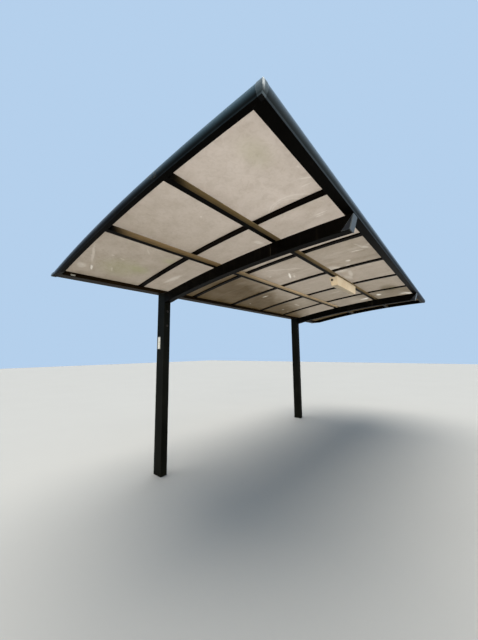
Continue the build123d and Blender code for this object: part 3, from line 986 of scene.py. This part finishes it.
BACK_BRONZE = Bronze("back_frame_anodising", "dark_bronze", Grain.ALONG_X, sheen=0.15,
                     metal=(0.010, 0.0056, 0.0018), faded=(0.017, 0.0098, 0.0034),
                     dust=(0.11, 0.070, 0.028), outside=(0.0, 1.0, 0.0))
# Purlins: painted sunlight, highlight and shade on their front faces.
FRONT_PURLIN_BRONZE = PurlinBronze("front_purlin_anodising", "purlin_bronze", Grain.ALONG_X,
                                   sheen=0.03)
MIDDLE_PURLIN_BRONZE = PurlinBronze("middle_purlin_anodising", "purlin_bronze", Grain.ALONG_X,
                                    sheen=0.03, sunlit=(0.310, 0.214, 0.107),
                                    brightly_sunlit=(0.78, 0.60, 0.38), top=2.052)
SHEET_FILMS = ((0.0, 0.28), (0.04, 0.22), (0.28, 0.16), (0.24, 0.26), (0.30, 0.40), (0.52, 0.30),
               (0.50, 0.50))
SHEETS = [SmokedSheet(f"weathered_sheet_{bay + 1}", "smoked_sheet", bay=bay, film=film)
          for bay, film in enumerate(SHEET_FILMS)]
# Corner castings: painted highlight down each mitre and painted light on their front faces.
CORNER_MOULDING = Moulding("corner_casting", "grey_moulding", base=(0.020, 0.030, 0.034),
                           worn=(0.085, 0.104, 0.112), bare=(0.48, 0.50, 0.50), sheen=1.0,
                           rub=0.25, specular=0.03, mitre_lines=(1.0275, 1.9965))
CAP_MOULDING = Moulding("beam_cap_casting", "grey_moulding", base=(0.050, 0.057, 0.060),
                        worn=(0.10, 0.108, 0.112), sheen=0.5)
# Darker copy of the caps' moulding: painted shade on the cheeks.
CHEEK_SHADED_MOULDING = Moulding("cheek_casting_shaded", "grey_moulding", base=(0.010, 0.012, 0.016),
                          worn=(0.030, 0.034, 0.040), sheen=0.4)
BLACK_MOULDING = Moulding("post_cap_plastic", "black_moulding", base=(0.006, 0.006, 0.006),
                          worn=(0.02, 0.02, 0.019), bare=(0.05, 0.05, 0.05),
                          roughness=0.5, sheen=0.1)
FITTINGS = Steel("plated_steel", "steel_fittings")
BOLTS = Steel("rusted_bolts", "steel_fittings", plate=(0.045, 0.040, 0.036), rusting=0.8)
RUBBER = Rubber("sealing_rubber", "black_moulding")
ENAMEL = Enamel("cream_enamel", "lamp_enamel")
COVER = MilkyCover("milky_cover", "lamp_diffuser")
LABEL = BareLabel("bare_film", "lamp_diffuser")


@dataclass(frozen=True)
class RoofArc:
    """The arc of the sheets' underside and places on it."""

    radius: float = 11.480
    crest_y: float = -2.215
    crest_z: float = 2.149

    def angle(self, y: float) -> float:
        """Angle from the crest to a line across the roof, in radians."""
        return math.asin((y - self.crest_y) / self.radius)

    def point(self, x: float, y: float, level: float = 0.0) -> Vector:
        """Point a level above the sheets' underside, square to the arc at a line."""
        turn, reach = self.angle(y), self.radius + level
        return Vector((x, self.crest_y + reach * math.sin(turn),
                       self.crest_z - self.radius + reach * math.cos(turn)))

    def place(self, x: float, y: float, level: float = 0.0) -> Matrix:
        """Place on the roof: local Z is square to the arc and local Y runs down to the back."""
        return (Matrix.Translation(self.point(x, y, level))
                @ Matrix.Rotation(-self.angle(y), 4, "X"))

    def beside(self, x: float, y: float, offset: Point) -> Matrix:
        """Place on the roof, moved by an offset along its own axes."""
        return self.place(x, y) @ Matrix.Translation(offset)


ARC = RoofArc()
LOOKS_FRONT = Matrix.Rotation(math.radians(90), 4, "X")
LOOKS_BACK = Matrix.Rotation(math.radians(-90), 4, "X")
LOOKS_LEFT = Matrix.Rotation(math.radians(-90), 4, "Y")
LOOKS_RIGHT = Matrix.Rotation(math.radians(90), 4, "Y")
LOOKS_DOWN = Matrix.Rotation(math.radians(180), 4, "X")
SIDEWAYS = Matrix(((0, 0, 1, 0), (1, 0, 0, 0), (0, 1, 0, 0), (0, 0, 0, 1)))


class Head(Enum):
    """Kinds of screw head: stacks of (sides, ((radius, height), ...)) in millimetres."""

    DOME = ((28, ((13, -0.3), (13, 1.2), (12.2, 1.8), (9.4, 1.8), (9.4, 3.2), (8.6, 5.2),
                  (6.4, 6.9), (3.6, 7.6), (3.3, 7.3), (3.3, 4.6))),)
    PAN = ((20, ((4.8, -0.3), (4.8, 1.2), (4.3, 2.2), (2.9, 2.9), (1.3, 3.0), (1.0, 1.6))),)
    HEX = ((24, ((7.6, -0.3), (7.6, 0.7), (6.8, 1.3), (5.2, 1.4))),
           (6, ((5.3, 1.0), (5.3, 4.4), (4.5, 5.0), (2.0, 4.7))))
    GLAND = ((6, ((12.5, -0.3), (12.5, 5.0), (11.6, 5.8))),
             (24, ((10.0, 5.2), (10.0, 12.0), (9.2, 15.0), (6.8, 17.0), (5.0, 17.0), (4.4, 15.0))))


class Piece:
    """A new piece of the model, put together from turned heads, beads and plates."""

    def __init__(self, name: str, finish: Finish) -> None:
        """Start an empty piece.

        Args:
            name: the piece's name.
            finish: what it is dressed in.
        """
        self.name = name
        self.finish = finish
        self.mesh = bmesh.new()

    def loft(self, rings: list[list[Vector]], looped: bool = False) -> None:
        """Join rings of points that each have the same count.

        Args:
            rings: the rings in order.
            looped: whether the last ring joins the first, in place of closed ends.
        """
        rows = [[self.mesh.verts.new(point) for point in ring] for ring in rings]
        for first, second in zip(rows, rows[1:] + rows[:1] if looped else rows[1:]):
            for here, there in zip(range(len(first)), [*range(1, len(first)), 0]):
                self.mesh.faces.new((first[here], first[there], second[there], second[here]))
        if not looped:
            self.mesh.faces.new(rows[0][::-1])
            self.mesh.faces.new(rows[-1])

    def head(self, place: Matrix, kind: Head) -> None:
        """Turn a screw head that stands on the local XY plane.

        Args:
            place: where it sits, with local Z out of the surface.
            kind: the kind of head.
        """
        for sides, profile in kind.value:
            angles = [2 * math.pi * side / sides for side in range(sides)]
            self.loft([[place @ (Vector((radius * math.cos(a), radius * math.sin(a), height))
                                 * MILLIMETRE) for a in angles] for radius, height in profile])

    def bead(self, section: list[Pair], x: float, start_y: float, end_y: float) -> None:
        """Carry a section along the roof arc.

        Args:
            section: (out along X, level) of the section's points, in metres.
            x: the line that the section is drawn from.
            start_y: where the bead starts.
            end_y: where it ends.
        """
        runs = 30
        stations = [start_y + (end_y - start_y) * run / runs for run in range(runs + 1)]
        self.loft([[ARC.point(x + out, y, level) for out, level in section] for y in stations])

    def bar(self, place: Matrix, outline: list[Pair], length: float) -> None:
        """Carry an outline straight along local Z, with its sharp ends a little drawn in.

        Args:
            place: where the outline's plane lies.
            outline: its points.
            length: how far it is carried.
        """
        soft = min(length / 3, 0.0006)
        middle = Vector((sum(p[0] for p in outline), sum(p[1] for p in outline))) / len(outline)
        rings = []
        for height, inset in ((0, soft), (soft, 0), (length - soft, 0), (length, soft)):
            ring = []
            for point in outline:
                away = Vector(point) - middle
                drawn = middle + away * (1 - inset / max(away.length, inset * 2))
                ring.append(place @ Vector((*drawn, height)))
            rings.append(ring)
        self.loft(rings)

    def done(self) -> Object:
        """Finish the piece: one object that is dressed and rides on the shelter.

        Returns:
            The new object.
        """
        bmesh.ops.recalc_face_normals(self.mesh, faces=self.mesh.faces)
        data = bpy.data.meshes.new(self.name)
        self.mesh.to_mesh(data)
        self.mesh.free()
        data.polygons.foreach_set("use_smooth", [True] * len(data.polygons))
        data.set_sharp_from_angle(angle=SMOOTH_BELOW)
        piece = bpy.data.objects.new(self.name, data)
        bpy.context.scene.collection.objects.link(piece)
        self.finish.dress(piece)
        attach(piece, "root")
        return piece


def rounded(outline: list[Pair], radius: float, steps: int = 5) -> list[Pair]:
    """Round the corners of a flat outline.

    Args:
        outline: the sharp corners in order.
        radius: how far from each corner the curve starts.
        steps: points along each curve, less one.

    Returns:
        The rounded outline's points.
    """
    points = []
    for before, corner, after in zip(outline[-1:] + outline[:-1], outline, outline[1:] + outline[:1]):
        here = Vector(corner)
        start = here + (Vector(before) - here).normalized() * radius
        end = here + (Vector(after) - here).normalized() * radius
        for step in range(steps + 1):
            t = step / steps
            points.append(tuple(start * (1 - t)**2 + here * 2 * t * (1 - t) + end * t * t))
    return points


def oblong(width: float, height: float) -> list[Pair]:
    """Corners of a rectangle about the origin."""
    return [(-width / 2, -height / 2), (width / 2, -height / 2),
            (width / 2, height / 2), (-width / 2, height / 2)]


def nodes(*words: str) -> list[Object]:
    """CAD nodes whose names start or end with one of some words.

    Args:
        words: the words.

    Returns:
        The nodes' objects, in name order.
    """
    return [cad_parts[name] for name in sorted(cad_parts)
            if any(name.startswith(word) or name.endswith(word) for word in words)]


def heads(name: str, finish: Finish, kind: Head, places: list[Matrix]) -> Object:
    """Make a piece of like screw heads.

    Args:
        name: the piece's name.
        finish: what it is dressed in.
        kind: the kind of head.
        places: where the heads sit.

    Returns:
        The piece.
    """
    piece = Piece(name, finish)
    for place in places:
        piece.head(place, kind)
    return piece.done()


def blank_film(name: str, place: Matrix, size: Pair, thickness: float, radius: float) -> Object:
    """Make a blank film with rounded corners.

    Args:
        name: the piece's name.
        place: where its middle lies.
        size: its two sides.
        thickness: how far it stands out.
        radius: how far from each corner its curve starts.

    Returns:
        The piece.
    """
    piece = Piece(name, LABEL)
    piece.bar(place, rounded(oblong(*size), radius), thickness)
    return piece.done()


class Assembly:
    """A group of pieces that is built, dressed and reported together."""

    def build(self) -> list[Object]:
        """Make the group's pieces and dress its CAD nodes."""
        raise NotImplementedError

    def report(self) -> None:
        """Build the group and log each of its pieces."""
        for piece in self.build():
            LOG.info("%s: %s, %d faces", type(self).__name__, piece.name,
                     len(piece.data.polygons))


@dataclass
class Posts(Assembly):
    """The two posts with their caps, bolts and a blank strip."""

    front_face: float = -0.065
    side_face: float = -0.0375
    bolt_heights: Pair = (1.688, 1.534)
    strip_middle: Pair = (0.025, 1.348)
    strip_size: Pair = (0.129, 0.044)
    strip_thickness: float = 0.0004

    def bolts(self) -> Object:
        """Domed bolts that hold the beams' cores, on the posts' front faces."""
        return heads("post_bolts", BOLTS, Head.DOME,
                     [Matrix.Translation((x, self.front_face, z)) @ LOOKS_FRONT
                      for x in GRID.posts for z in self.bolt_heights])

    def blank_strip(self) -> Object:
        """Blank film on the left post's outer face."""
        place = Matrix.Translation((self.side_face, *self.strip_middle)) @ LOOKS_LEFT
        return blank_film("blank_strip", place, self.strip_size, self.strip_thickness, 0.003)

    def build(self) -> list[Object]:
        """Dress the posts and make what is fixed to them."""
        return [*POST_BRONZE.dress(*nodes("_post")), *BLACK_MOULDING.dress(*nodes("_post_cap")),
                self.bolts(), self.blank_strip()]


@dataclass
class Beams(Assembly):
    """The two arched beams with their root castings, caps and joint rings."""

    half_width: float = 0.035
    low: float = -0.155
    high: float = -0.055
    root_line: float = -0.116
    ring_length: float = 0.0028
    ring_section: Pair = (0.0006, -0.001)
    cheek_corners: tuple[Pair, ...] = ((-2.0425, -0.0600), (-2.0170, -0.1525), (-1.9600, -0.1525))
    cheek_gap: float = 0.0004
    cheek_thickness: float = 0.0016

    def cap_cheeks(self) -> Object:
        """Three-cornered cheeks by which each cap grips the sides of its beam, dressed darker than
        the caps for painted shade.

        Returns:
            The piece.
        """
        piece = Piece("cap_cheeks", CHEEK_SHADED_MOULDING)
        corners = [ARC.point(0.0, y, level) for y, level in self.cheek_corners]
        outline = rounded([(corner.y, corner.z) for corner in corners], 0.002, 3)
        for x in GRID.posts:
            for side in (-1, 1):
                start = x + side * (self.half_width + self.cheek_gap) - self.cheek_thickness / 2
                piece.bar(Matrix.Translation((start, 0, 0)) @ SIDEWAYS, outline,
                          self.cheek_thickness)
        return piece.done()

    def joint_rings(self) -> Object:
        """Thin rubber rings where the beams enter their root castings.

        Returns:
            The piece.
        """
        piece = Piece("beam_joint_rings", RUBBER)
        proud, sunk = self.ring_section
        front = self.root_line - self.ring_length
        for x in GRID.posts:
            rings = []
            for y, out in ((front, proud), (self.root_line, proud),
                           (self.root_line, sunk), (front, sunk)):
                side = self.half_width + out
                corners = [(-side, self.low - out), (side, self.low - out),
                           (side, self.high + out), (-side, self.high + out)]
                rings.append([ARC.point(x + across, y, level)
                              for across, level in rounded(corners, 0.002, 2)])
            piece.loft(rings, looped=True)
        return piece.done()

    def build(self) -> list[Object]:
        """Dress the beams, castings and caps, and make the cheeks and rings."""
        return [*BEAM_BRONZE.dress(*nodes("_beam", "_beam_root")),
                *CAP_MOULDING.dress(*nodes("_beam_cap")), self.cap_cheeks(), self.joint_rings()]


@dataclass
class Purlins(Assembly):
    """The two straight purlins with their clips, end angles and screws."""

    lines: Pair = (-1.462, -0.826)
    half_width: float = 0.019
    seat: float = -0.055
    leg: float = 0.028
    thickness: float = 0.004
    pair_spread: float = 0.011
    end_level: float = -0.034

    def clip_screws(self) -> Object:
        """Hexagon screws through both legs of each clip on a beam.

        Returns:
            The piece.
        """
        reach = (self.leg + self.thickness) / 2
        on_beam = (self.half_width + reach, self.seat + self.thickness)
        on_purlin = (self.half_width + self.thickness, self.seat + reach)
        places = []
        for x in GRID.posts:
            for y in self.lines:
                for side in (-self.pair_spread, self.pair_spread):
                    places += [ARC.beside(x, y, (side, *on_beam)),
                               ARC.beside(x, y, (side, *on_purlin)) @ LOOKS_BACK]
        return heads("clip_screws", FITTINGS, Head.HEX, places)

    def end_screws(self) -> Object:
        """Pan-headed screws through both legs of each angle at a purlin's end.

        Returns:
            The piece.
        """
        reach = (self.leg + self.thickness) / 2
        places = []
        for face, inward, looks in zip(GRID.inner_faces, (1, -1), (LOOKS_RIGHT, LOOKS_LEFT)):
            on_purlin = (inward * reach, self.half_width + self.thickness, self.end_level)
            on_frame = (inward * self.thickness, self.half_width + reach, self.end_level)
            for y in self.lines:
                places += [ARC.beside(face, y, on_purlin) @ LOOKS_BACK,
                           ARC.beside(face, y, on_frame) @ looks]
        return heads("end_screws", FITTINGS, Head.PAN, places)

    def build(self) -> list[Object]:
        """Dress the purlins and fittings, and make the screws."""
        return [*FRONT_PURLIN_BRONZE.dress(*nodes("front_purlin")),
                *MIDDLE_PURLIN_BRONZE.dress(*nodes("middle_purlin")),
                *FITTINGS.dress(*nodes("purlin_clips", "purlin_ends")),
                self.clip_screws(), self.end_screws()]


@dataclass
class Roof(Assembly):
    """Rafters, sheets and edge frames with their sealing beads and screws."""

    ends: Pair = (-1.9935, 0.0545)
    half_bar: float = 0.022
    bar_beads: tuple[Pair, Pair] = ((0.003, 0.0026), (0.0, -0.0018))
    edge_beads: tuple[Pair, Pair] = ((0.003, 0.0026), (0.0, -0.0022))
    bead_gap: float = 0.003
    nose_gap: float = 0.0012
    cover_top: float = 0.011
    cover_screw_lines: tuple[float, ...] = (-1.93, -1.44, -0.95, -0.46, 0.03)
    sticker_middle: Point = (-0.913, -0.002, 1.9065)
    sticker_size: Pair = (0.036, 0.013)
    sticker_thickness: float = 0.0003
    corner_screw: Pair = (0.012, 0.098)
    gutter_bottom: float = 1.8915

    @staticmethod
    def bead_section(side: float, level: float, rise: float) -> list[Pair]:
        """Small quarter-round bead beside a bar, above or below a sheet.

        Args:
            side: +1 or -1, away from the bar.
            level: the sheet's face that the bead lies on.
            rise: its height, negative below the sheet.

        Returns:
            The bead's section as (out, level) pairs.
        """
        width = abs(rise) * 1.15
        return [(-side * 0.0004, level - rise * 0.05), (side * width, level - rise * 0.05),
                (side * width * 0.86, level + rise * 0.5),
                (side * width * 0.5, level + rise * 0.86), (-side * 0.0004, level + rise)]

    def bar_seals(self) -> Object:
        """Rubber beads along both sides of each rafter and its cover.

        Returns:
            The piece.
        """
        piece = Piece("bar_seals", RUBBER)
        for line in GRID.rafters:
            for side in (-1, 1):
                for level, rise in self.bar_beads:
                    section = self.bead_section(side, level, rise)
                    piece.bead(section, line + side * self.half_bar, *self.ends)
        return piece.done()

    def edge_seals(self) -> Object:
        """Rubber beads along the side frames and the front frame, above and below the sheets.

        Returns:
            The piece.
        """
        piece = Piece("edge_seals", RUBBER)
        left, right = GRID.inner_faces
        for edge, side in ((left, 1), (right, -1)):
            for level, rise in self.edge_beads:
                piece.bead(self.bead_section(side, level, rise), edge, *self.ends)
        starts = [left, *(line + self.half_bar for line in GRID.rafters)]
        ends = [*(line - self.half_bar for line in GRID.rafters), right]
        for start, end in zip(starts, ends):
            place = ARC.place(start + self.bead_gap, self.ends[0] - self.nose_gap)
            for level, rise in self.edge_beads:
                section = self.bead_section(1, level, rise)
                piece.loft([[place @ Vector((along, out, height)) for out, height in section]
                            for along in (0.0, end - start - 2 * self.bead_gap)])
        return piece.done()

    def cover_screws(self) -> Object:
        """Pan-headed screws along the rafter covers."""
        return heads("cover_screws", FITTINGS, Head.PAN,
                     [ARC.place(line, y, self.cover_top)
                      for line in GRID.rafters for y in self.cover_screw_lines])

    def corner_screws(self) -> Object:
        """Pan-headed screws under the gutter's end pieces."""
        out, y = self.corner_screw
        return heads("corner_screws", FITTINGS, Head.PAN,
                     [Matrix.Translation((x, y, self.gutter_bottom)) @ LOOKS_DOWN
                      for x in (GRID.first - out, GRID.last + out)])

    def blank_sticker(self) -> Object:
        """Small blank sticker on the back frame's inner face."""
        place = Matrix.Translation(self.sticker_middle) @ LOOKS_FRONT
        return blank_film("blank_sticker", place, self.sticker_size, self.sticker_thickness, 0.0015)

    def build(self) -> list[Object]:
        """Dress the roof's bars, sheets and frames, and make their seals and screws."""
        for sheet, finish in zip(nodes("roof_panel_"), SHEETS):
            finish.dress(sheet)
        return [*RAFTER_BRONZE.dress(*nodes("rafter_")), *nodes("roof_panel_"),
                *LEFT_SIDE_BRONZE.dress(*nodes("left_side_frame")),
                *RIGHT_SIDE_BRONZE.dress(*nodes("right_side_frame")),
                *FRONT_BRONZE.dress(*nodes("front_frame")),
                *BACK_BRONZE.dress(*nodes("back_frame")),
                *CORNER_MOULDING.dress(*nodes("_front_corner", "_back_corner")),
                self.bar_seals(), self.edge_seals(), self.cover_screws(), self.corner_screws(),
                self.blank_sticker()]


@dataclass
class Lamp(Assembly):
    """Strip lamp under the front purlin, with its end plates, rims, gland and nuts."""

    ends: Pair = (1.192, 1.832)
    line: float = -1.462
    top: float = -0.063
    bottom: float = -0.159
    top_half: float = 0.045
    bottom_half: float = 0.032
    rim: Pair = (0.0025, 0.0022)
    seam: Pair = (0.012, 0.0012)
    end_gap: float = 0.002
    plate_out: float = 0.0016
    plate_thickness: float = 0.002
    plate_screw: Pair = (0.026, 0.022)
    nut_lines: Pair = (1.352, 1.672)
    nut_spread: float = 0.0285
    gland_spot: Pair = (0.019, -0.094)

    def spot(self, x: float, across: float, level: float) -> Matrix:
        """Place beside the lamp, in the roof's slope at its line."""
        return ARC.beside(x, self.line, (0, across, level))

    def end_plates(self) -> Object:
        """Pressed end plates with rounded corners, screwed on.

        Returns:
            The piece.
        """
        piece = Piece("lamp_end_plates", ENAMEL)
        lip = 0.0015
        outline = rounded([(-self.bottom_half - lip, self.bottom + 0.002),
                           (self.bottom_half + lip, self.bottom + 0.002),
                           (self.top_half + lip, self.top + 0.001),
                           (-self.top_half - lip, self.top + 0.001)], 0.007)
        for x in (self.ends[0] - self.plate_out,
                  self.ends[1] + self.plate_out - self.plate_thickness):
            piece.bar(ARC.place(x, self.line) @ SIDEWAYS, outline, self.plate_thickness)
        return piece.done()

    def rims(self) -> Object:
        """Rolled rims along the housing's mouth and a seam along its upper edge, both sides.

        Returns:
            The piece.
        """
        piece = Piece("lamp_rims", ENAMEL)
        length = self.ends[1] - self.ends[0] - 2 * self.end_gap
        place = ARC.place(self.ends[0] + self.end_gap, self.line) @ SIDEWAYS
        slope = (self.top_half - self.bottom_half) / (self.top - self.bottom)
        for side in (-1, 1):
            for level, size in ((self.bottom + self.rim[0], self.rim[1]),
                                (self.top - self.seam[0], self.seam[1])):
                out = side * (self.bottom_half + slope * (level - self.bottom))
                ring = [(out + size * math.cos(a), level + size * math.sin(a))
                        for a in (2 * math.pi * step / 10 for step in range(10))]
                piece.bar(place, ring, length)
        return piece.done()

    def end_screws(self) -> Object:
        """Painted screws of the end plates."""
        across, rise = self.plate_screw
        return heads("lamp_end_screws", ENAMEL, Head.PAN,
                     [self.spot(end + out * self.plate_out, side, self.bottom + rise) @ looks
                      for end, out, looks in zip(self.ends, (-1, 1), (LOOKS_LEFT, LOOKS_RIGHT))
                      for side in (-across, across)])

    def nuts(self) -> Object:
        """Nuts of the hangers, on top of the housing."""
        return heads("lamp_nuts", FITTINGS, Head.HEX,
                     [self.spot(x, side, self.top)
                      for x in self.nut_lines for side in (-self.nut_spread, self.nut_spread)])

    def gland(self) -> Object:
        """Black gland high on the lamp's near end, closed."""
        spot = self.spot(self.ends[0] - self.plate_out, *self.gland_spot)
        return heads("lamp_gland", RUBBER, Head.GLAND, [spot @ LOOKS_LEFT])

    def build(self) -> list[Object]:
        """Dress the housing, cover and hangers, and make the trim."""
        return [*ENAMEL.dress(*nodes("lamp_body")), *COVER.dress(*nodes("lamp_lens")),
                *FITTINGS.dress(*nodes("lamp_hangers")), self.end_plates(), self.end_screws(),
                self.rims(), self.nuts(), self.gland()]


@dataclass(frozen=True)
class SoftLight:
    """A soft light: a square softbox so many metres wide, or a far one so many degrees wide."""

    name: str
    place: Point
    width: float
    power: float
    colour: Colour
    far: bool = False
    mirrored: bool = False

    def hang(self, aim: Point) -> None:
        """Hang the light and turn it towards a point.

        Args:
            aim: the point that it shines at.
        """
        data = bpy.data.lights.new(self.name, "SUN" if self.far else "AREA")
        data.energy, data.color = self.power, self.colour
        if self.far:
            data.angle = math.radians(self.width)
        else:
            data.size = self.width
        lamp = bpy.data.objects.new(self.name, data)
        lamp.location = self.place
        lamp.rotation_euler = (Vector(aim) - Vector(self.place)).to_track_quat("-Z", "Y").to_euler()
        lamp.visible_camera = False
        lamp.visible_glossy = self.mirrored
        bpy.context.scene.collection.objects.link(lamp)


@dataclass
class Studio:
    """Floor, light and camera."""

    floor_size: float = 60.0
    eye: Point = (-1.687, -2.489, 1.234)
    yaw: float = 39.87
    pitch: float = 7.06
    roll: float = -0.60
    lens: float = 14.85
    sky: Colour = (0.46, 0.63, 0.84)
    aim: Point = (1.2, -1.0, 1.8)
    lights: tuple[SoftLight, ...] = (
        SoftLight("overhead_light", (1.2, -0.6, 8.5), 60.0, 5.8, (1.0, 0.95, 0.87), far=True),
        SoftLight("front_light", (-6.0, -8.0, 3.2), 30.0, 3.0, (1.0, 0.94, 0.82), far=True),
        SoftLight("glint_softbox", (-3.6, -6.2, 6.8), 2.4, 110.0, (1.0, 0.98, 0.94), mirrored=True),
    )

    def floor(self) -> None:
        """Make the floor at the posts' feet."""
        mesh = bpy.data.meshes.new("floor")
        half = self.floor_size / 2
        corners = [(-half, -half, 0), (half, -half, 0), (half, half, 0), (-half, half, 0)]
        mesh.from_pydata(corners, [], [(0, 1, 2, 3)])
        floor = bpy.data.objects.new("floor", mesh)
        bpy.context.scene.collection.objects.link(floor)
        mesh.materials.append(PaleFloor("pale_floor", "").material())

    def light(self) -> None:
        """Hang the soft lights and set the pale surroundings."""
        for light in self.lights:
            light.hang(self.aim)
        world = bpy.data.worlds.new("pale_surroundings")
        world.use_nodes = True
        world.node_tree.nodes["Background"].inputs[0].default_value = (*self.sky, 1)
        bpy.context.scene.world = world
        bpy.context.scene.view_settings.view_transform = "Standard"

    def camera(self) -> None:
        """Stand the camera where the picture was taken."""
        data = bpy.data.cameras.new("camera")
        data.lens = self.lens
        camera = bpy.data.objects.new("camera", data)
        turn = (Matrix.Rotation(math.radians(self.yaw - 90), 4, "Z")
                @ Matrix.Rotation(math.radians(90 + self.pitch), 4, "X")
                @ Matrix.Rotation(math.radians(self.roll), 4, "Z"))
        camera.matrix_world = Matrix.Translation(self.eye) @ turn
        bpy.context.scene.collection.objects.link(camera)
        bpy.context.scene.camera = camera


def main() -> None:
    """Build the studio and each sub-assembly in order."""
    logging.basicConfig(level=logging.INFO, format="%(message)s")
    studio = Studio()
    studio.camera()
    studio.light()
    studio.floor()
    for assembly in (Posts(), Beams(), Purlins(), Roof(), Lamp()):
        assembly.report()


if __name__ == "__main__":
    main()
